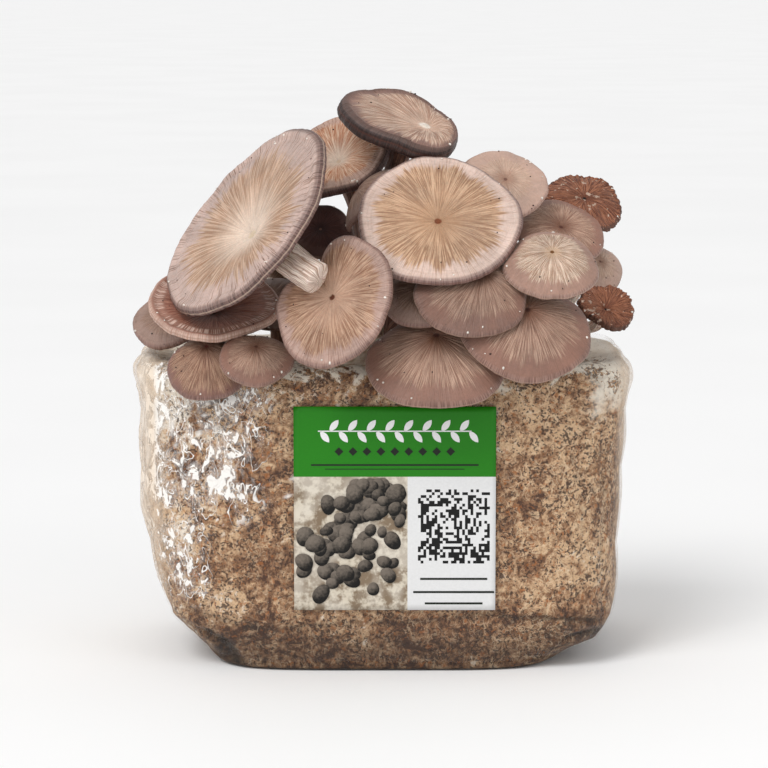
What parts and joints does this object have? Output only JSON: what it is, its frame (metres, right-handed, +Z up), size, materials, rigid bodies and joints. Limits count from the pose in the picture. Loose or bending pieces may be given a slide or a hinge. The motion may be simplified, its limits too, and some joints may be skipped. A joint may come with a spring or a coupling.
{
  "type": "oyster mushroom grow kit",
  "caption": "Block of colonised sawdust in a clear bag with a plain sticker, and a cluster of brown oyster mushrooms growing from its top.",
  "frame": {"origin": "on the flat underside, under the middle of the block", "axes": "+Z up, +X to the right as seen from the front, and the front with the sticker faces -Y"},
  "size_m": [0.221, 0.1704, 0.2487],
  "materials": {
    "sawdust": "matte",
    "clear_film": "gloss",
    "label_paper": "satin",
    "fused_tissue": "matte",
    "cap_skin": "satin",
    "dried_cap": "matte",
    "stem_flesh": "matte"
  },
  "bodies": {
    "root": {"substrate_block": "sawdust", "bag": "clear_film", "label": "label_paper", "base_middle": "fused_tissue", "base_right": "fused_tissue", "base_left": "fused_tissue", "cap_top": "cap_skin", "cap_upper_left": "cap_skin", "cap_big_left": "cap_skin", "cap_saucer": "cap_skin", "cap_heart": "cap_skin", "cap_far_left": "cap_skin", "cap_low_left": "cap_skin", "cap_low_left_small": "cap_skin", "cap_shaded_left": "cap_skin", "cap_shaded_centre": "cap_skin", "cap_curled": "cap_skin", "cap_centre": "cap_skin", "cap_upper_right": "cap_skin", "cap_dried_top": "dried_cap", "cap_right": "cap_skin", "cap_front_right": "cap_skin", "cap_small_right": "cap_skin", "cap_dried_low": "dried_cap", "cap_low_right": "cap_skin", "cap_low_centre": "cap_skin", "cap_middle": "cap_skin", "cap_middle_left": "cap_skin", "cap_back_centre": "cap_skin", "cap_back_left": "cap_skin", "cap_back_right": "cap_skin", "cap_back_low": "cap_skin", "stem_top": "stem_flesh", "stem_upper_left": "stem_flesh", "stem_big_left": "stem_flesh", "stem_saucer": "stem_flesh", "stem_heart": "stem_flesh", "stem_far_left": "stem_flesh", "stem_low_left": "stem_flesh", "stem_low_left_small": "stem_flesh", "stem_shaded_left": "stem_flesh", "stem_shaded_centre": "stem_flesh", "stem_curled": "stem_flesh", "stem_centre": "stem_flesh", "stem_upper_right": "stem_flesh", "stem_dried_top": "stem_flesh", "stem_right": "stem_flesh", "stem_front_right": "stem_flesh", "stem_small_right": "stem_flesh", "stem_dried_low": "stem_flesh", "stem_low_right": "stem_flesh", "stem_low_centre": "stem_flesh", "stem_middle": "stem_flesh", "stem_middle_left": "stem_flesh", "stem_back_centre": "stem_flesh", "stem_back_left": "stem_flesh", "stem_back_right": "stem_flesh", "stem_back_low": "stem_flesh"}
  },
  "joints": []
}
